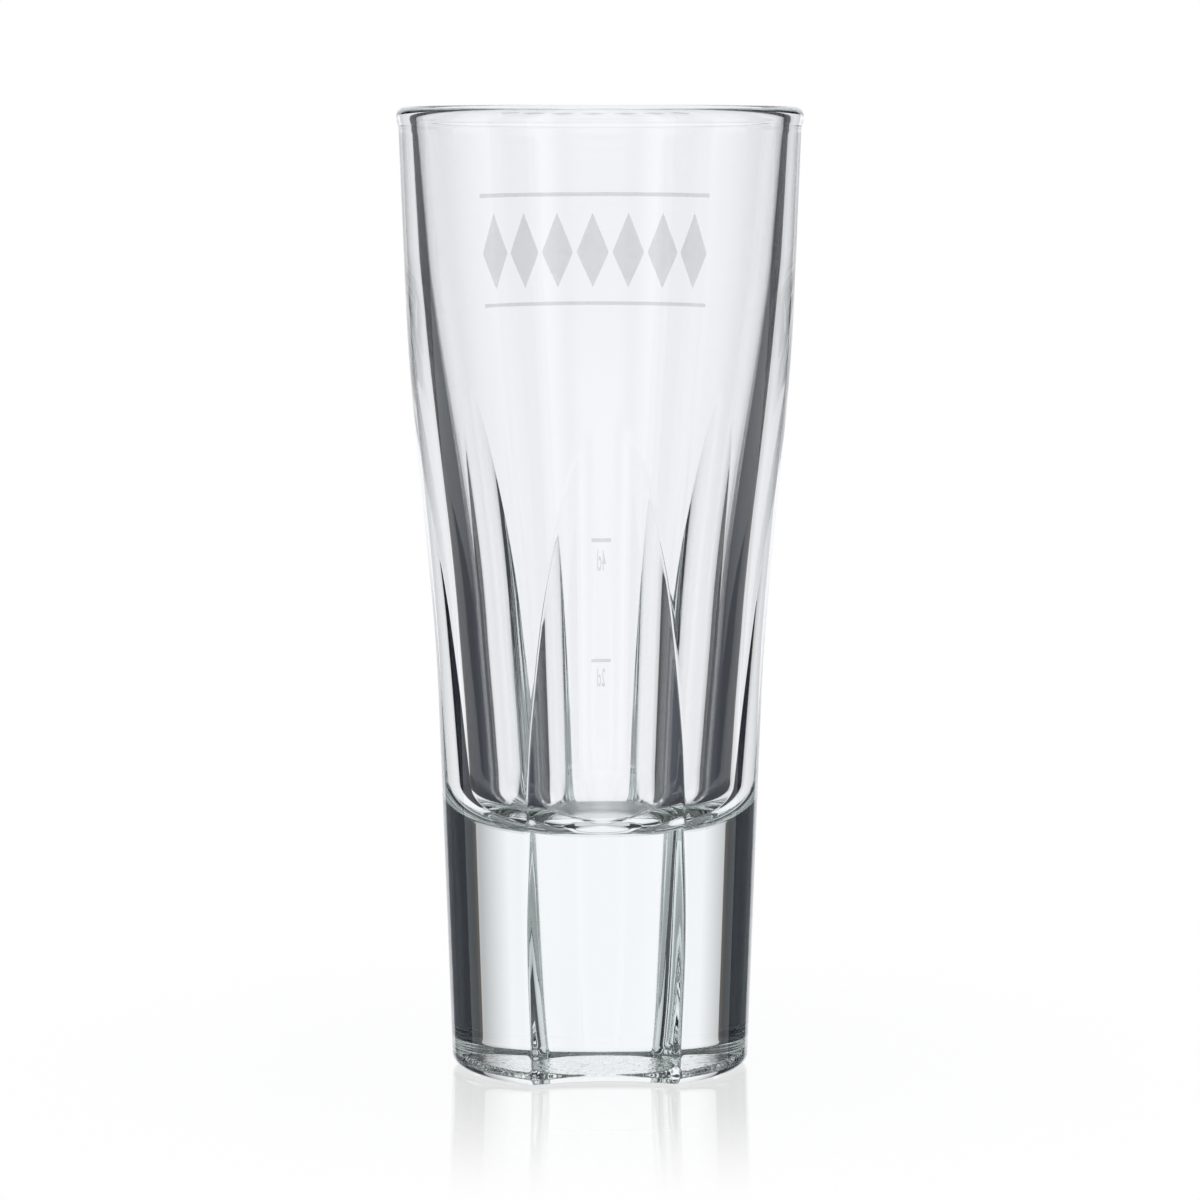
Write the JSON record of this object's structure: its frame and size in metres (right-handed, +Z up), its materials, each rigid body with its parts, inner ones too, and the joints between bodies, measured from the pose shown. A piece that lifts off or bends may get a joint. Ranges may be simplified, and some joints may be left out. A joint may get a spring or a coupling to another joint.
{
  "type": "liqueur glass",
  "caption": "Tall clear pressed-glass tumbler with a heavy solid foot, hollow flutes that fade into a flared cone, and enamel fill lines, for serving liqueur.",
  "frame": {"origin": "centre of the foot, on the surface that the glass stands on", "axes": "+Z up along the bore; -Y through the middle of the front flute; +Y through the middle of the round wall that carries the print"},
  "size_m": [0.0602, 0.0602, 0.143],
  "materials": {
    "clear_glass": "clear fire-polished soda-lime glass",
    "pale_enamel": "thin fired pale grey enamel print"
  },
  "bodies": {
    "root": {"glass_body": "clear_glass", "fill_line_2cl": "pale_enamel", "fill_line_4cl": "pale_enamel", "band_rule_lower": "pale_enamel", "band_rule_upper": "pale_enamel", "band_lozenge_1": "pale_enamel", "band_lozenge_2": "pale_enamel", "band_lozenge_3": "pale_enamel", "band_lozenge_4": "pale_enamel", "band_lozenge_5": "pale_enamel", "band_lozenge_6": "pale_enamel", "band_lozenge_7": "pale_enamel"}
  },
  "joints": []
}
